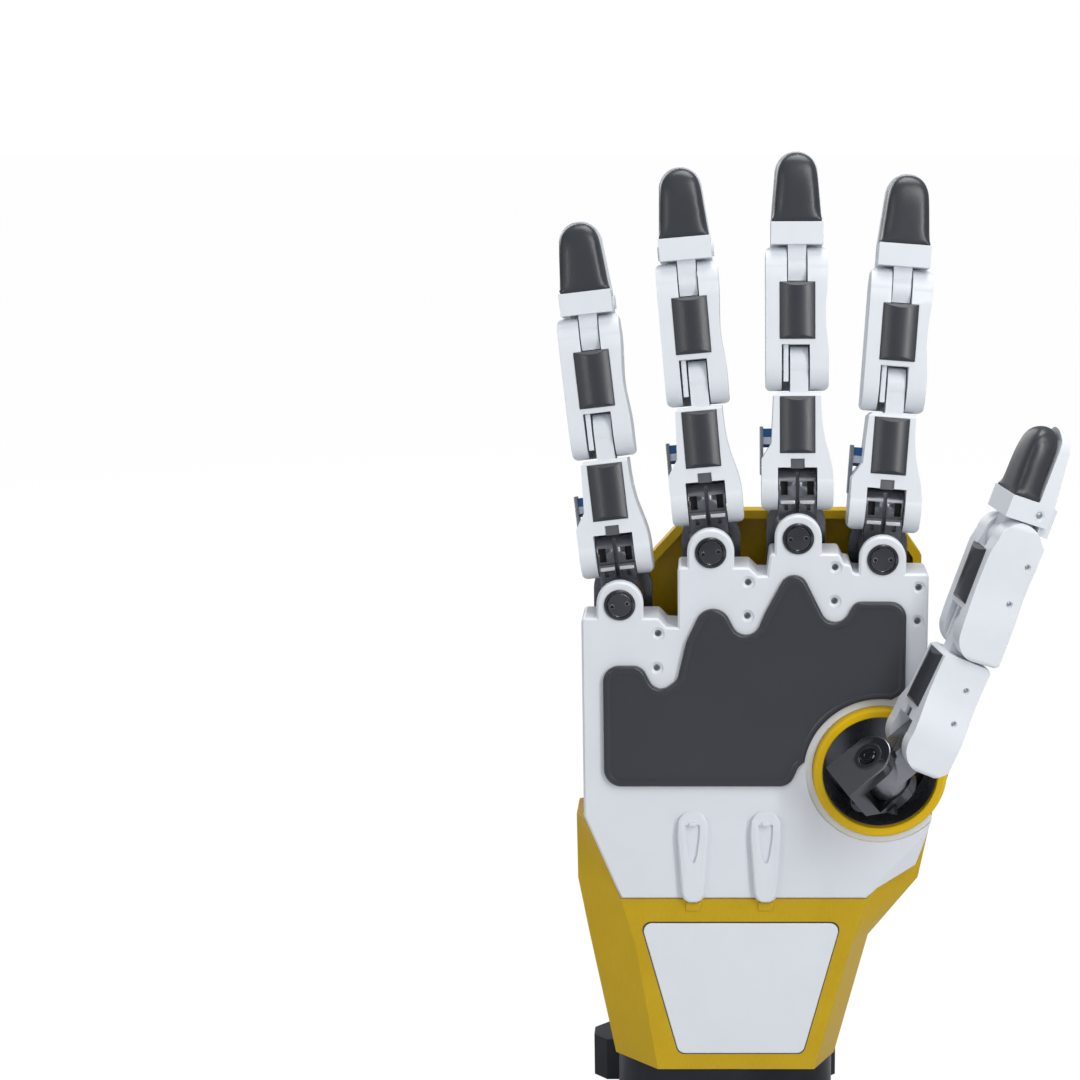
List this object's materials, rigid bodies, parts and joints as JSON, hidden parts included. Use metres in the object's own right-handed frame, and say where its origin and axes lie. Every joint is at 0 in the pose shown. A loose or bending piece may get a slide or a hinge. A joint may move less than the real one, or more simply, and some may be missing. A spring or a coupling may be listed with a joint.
{
  "type": "dexterous robot hand",
  "caption": "Right-handed humanoid robot hand: four jointed fingers and a swinging thumb with rubber pads, moulded palm covers, a faceted heel sheath and an oval wrist collar.",
  "frame": {"origin": "centre of the wrist flange's underside, on the axis of the bolt circle and the cable bore", "axes": "+Z from the wrist up along the palm and the fingers, -Y out of the palm, +X towards the thumb"},
  "size_m": [0.1408, 0.0641, 0.2841],
  "materials": {
    "white_casing": "fine satin moulded plastic",
    "dark_rubber": "matt moulded rubber",
    "gimbal_metal": "dark anodised, bead blasted",
    "yellow_casing": "satin yellow coat",
    "sheath_metal": "brushed, yellow anodised",
    "collar_metal": "dark blue-grey anodised",
    "black_metal": "black anodised",
    "pin_steel": "ground",
    "connector_plastic": "moulded",
    "motor_steel": "turned",
    "board": "solder mask"
  },
  "bodies": {
    "root": {"palm_cover": "white_casing", "palm_pad": "dark_rubber", "palm_frame": "gimbal_metal", "rear_cover": "yellow_casing", "heel_sheath": "sheath_metal", "wrist_panel": "white_casing", "wrist_collar": "collar_metal", "wrist_flange": "collar_metal", "thumb_ring": "yellow_casing", "thumb_socket": "black_metal", "thumb_saddle": "black_metal", "pivot_pins": "pin_steel", "pivot_caps": "black_metal", "cover_screws": "black_metal", "finger_motors": "motor_steel", "control_board": "board"},
    "little_base": {"little_knuckle": "gimbal_metal"},
    "little_proximal": {"little_proximal_case": "white_casing", "little_proximal_pad": "dark_rubber", "little_connector": "connector_plastic"},
    "little_middle": {"little_middle_case": "white_casing", "little_middle_pad": "dark_rubber", "little_joint_pins": "pin_steel"},
    "little_distal": {"little_distal_case": "white_casing", "little_tip_pad": "dark_rubber"},
    "ring_base": {"ring_knuckle": "gimbal_metal"},
    "ring_proximal": {"ring_proximal_case": "white_casing", "ring_proximal_pad": "dark_rubber", "ring_connector": "connector_plastic"},
    "ring_middle": {"ring_middle_case": "white_casing", "ring_middle_pad": "dark_rubber", "ring_joint_pins": "pin_steel"},
    "ring_distal": {"ring_distal_case": "white_casing", "ring_tip_pad": "dark_rubber"},
    "middle_base": {"middle_knuckle": "gimbal_metal"},
    "middle_proximal": {"middle_proximal_case": "white_casing", "middle_proximal_pad": "dark_rubber", "middle_connector": "connector_plastic"},
    "middle_middle": {"middle_middle_case": "white_casing", "middle_middle_pad": "dark_rubber", "middle_joint_pins": "pin_steel"},
    "middle_distal": {"middle_distal_case": "white_casing", "middle_tip_pad": "dark_rubber"},
    "index_base": {"index_knuckle": "gimbal_metal"},
    "index_proximal": {"index_proximal_case": "white_casing", "index_proximal_pad": "dark_rubber", "index_connector": "connector_plastic"},
    "index_middle": {"index_middle_case": "white_casing", "index_middle_pad": "dark_rubber", "index_joint_pins": "pin_steel"},
    "index_distal": {"index_distal_case": "white_casing", "index_tip_pad": "dark_rubber"},
    "thumb_base": {"thumb_knuckle": "gimbal_metal"},
    "thumb_proximal": {"thumb_proximal_case": "white_casing", "thumb_proximal_pad": "dark_rubber"},
    "thumb_middle": {"thumb_middle_case": "white_casing", "thumb_middle_pad": "dark_rubber", "thumb_joint_pins": "pin_steel"},
    "thumb_distal": {"thumb_distal_case": "white_casing", "thumb_tip_pad": "dark_rubber"}
  },
  "joints": [
    {"name": "little_spread", "type": "hinge", "parent": "root", "child": "little_base", "pos_m": [-0.0296, 0, 0.1591], "axis": [0, 1, 0], "range_deg": [-12, 6]},
    {"name": "little_knuckle_flex", "type": "hinge", "parent": "little_base", "child": "little_proximal", "pos_m": [-0.03112, 0, 0.17201], "axis": [0.9932, 0, 0.1167], "range_deg": [-9, 76]},
    {"name": "little_middle_flex", "type": "hinge", "parent": "little_proximal", "child": "little_middle", "pos_m": [-0.03498, 0.00524, 0.20487], "axis": [0.9932, 0, 0.1167], "range_deg": [0, 90]},
    {"name": "little_tip_flex", "type": "hinge", "parent": "little_middle", "child": "little_distal", "pos_m": [-0.03809, 0.00946, 0.23136], "axis": [0.9932, 0, 0.1167], "range_deg": [0, 54]},
    {"name": "ring_spread", "type": "hinge", "parent": "root", "child": "ring_base", "pos_m": [-0.004, 0, 0.1741], "axis": [0, 1, 0], "range_deg": [-6, 9]},
    {"name": "ring_knuckle_flex", "type": "hinge", "parent": "ring_base", "child": "ring_proximal", "pos_m": [-0.00513, 0, 0.18705], "axis": [0.9962, 0, 0.0872], "range_deg": [-9, 76]},
    {"name": "ring_middle_flex", "type": "hinge", "parent": "ring_proximal", "child": "ring_middle", "pos_m": [-0.00802, 0.00524, 0.22001], "axis": [0.9962, 0, 0.0872], "range_deg": [0, 90]},
    {"name": "ring_tip_flex", "type": "hinge", "parent": "ring_middle", "child": "ring_distal", "pos_m": [-0.01034, 0.00946, 0.24658], "axis": [0.9962, 0, 0.0872], "range_deg": [0, 54]},
    {"name": "middle_spread", "type": "hinge", "parent": "root", "child": "middle_base", "pos_m": [0.0205, 0, 0.1781], "axis": [0, 1, 0], "range_deg": [-9, 9]},
    {"name": "middle_knuckle_flex", "type": "hinge", "parent": "middle_base", "child": "middle_proximal", "pos_m": [0.02045, 0, 0.1911], "axis": [1, 0, 0.0035], "range_deg": [-9, 76]},
    {"name": "middle_middle_flex", "type": "hinge", "parent": "middle_proximal", "child": "middle_middle", "pos_m": [0.02034, 0.00524, 0.22419], "axis": [1, 0, 0.0035], "range_deg": [0, 90]},
    {"name": "middle_tip_flex", "type": "hinge", "parent": "middle_middle", "child": "middle_distal", "pos_m": [0.02025, 0.00946, 0.25085], "axis": [1, 0, 0.0035], "range_deg": [0, 54]},
    {"name": "index_spread", "type": "hinge", "parent": "root", "child": "index_base", "pos_m": [0.0442, 0, 0.1721], "axis": [0, 1, 0], "range_deg": [-9, 12]},
    {"name": "index_knuckle_flex", "type": "hinge", "parent": "index_base", "child": "index_proximal", "pos_m": [0.04517, 0, 0.18506], "axis": [0.9972, 0, -0.075], "range_deg": [-9, 76]},
    {"name": "index_middle_flex", "type": "hinge", "parent": "index_proximal", "child": "index_middle", "pos_m": [0.04766, 0.00524, 0.21806], "axis": [0.9972, 0, -0.075], "range_deg": [0, 90]},
    {"name": "index_tip_flex", "type": "hinge", "parent": "index_middle", "child": "index_distal", "pos_m": [0.04966, 0.00946, 0.24465], "axis": [0.9972, 0, -0.075], "range_deg": [0, 54]},
    {"name": "thumb_swing", "type": "hinge", "parent": "root", "child": "thumb_base", "pos_m": [0.039, -0.036, 0.1218], "axis": [0.4701, 0.5501, -0.6902], "range_deg": [-5, 65]},
    {"name": "thumb_knuckle_flex", "type": "hinge", "parent": "thumb_base", "child": "thumb_proximal", "pos_m": [0.05454, -0.02892, 0.12441], "axis": [-0.222, 0.9739, 0.048], "range_deg": [-60, 10]},
    {"name": "thumb_middle_flex", "type": "hinge", "parent": "thumb_proximal", "child": "thumb_middle", "pos_m": [0.06848, -0.02724, 0.15483], "axis": [-0.222, 0.9739, 0.048], "range_deg": [-80, 5]},
    {"name": "thumb_tip_flex", "type": "hinge", "parent": "thumb_middle", "child": "thumb_distal", "pos_m": [0.07759, -0.02641, 0.18023], "axis": [-0.222, 0.9739, 0.048], "range_deg": [-48, 3]}
  ],
  "couplings": [
    {"joint": "little_tip_flex", "follows": "little_middle_flex", "ratio": 0.6},
    {"joint": "ring_tip_flex", "follows": "ring_middle_flex", "ratio": 0.6},
    {"joint": "middle_tip_flex", "follows": "middle_middle_flex", "ratio": 0.6},
    {"joint": "index_tip_flex", "follows": "index_middle_flex", "ratio": 0.6},
    {"joint": "thumb_tip_flex", "follows": "thumb_middle_flex", "ratio": 0.6}
  ]
}
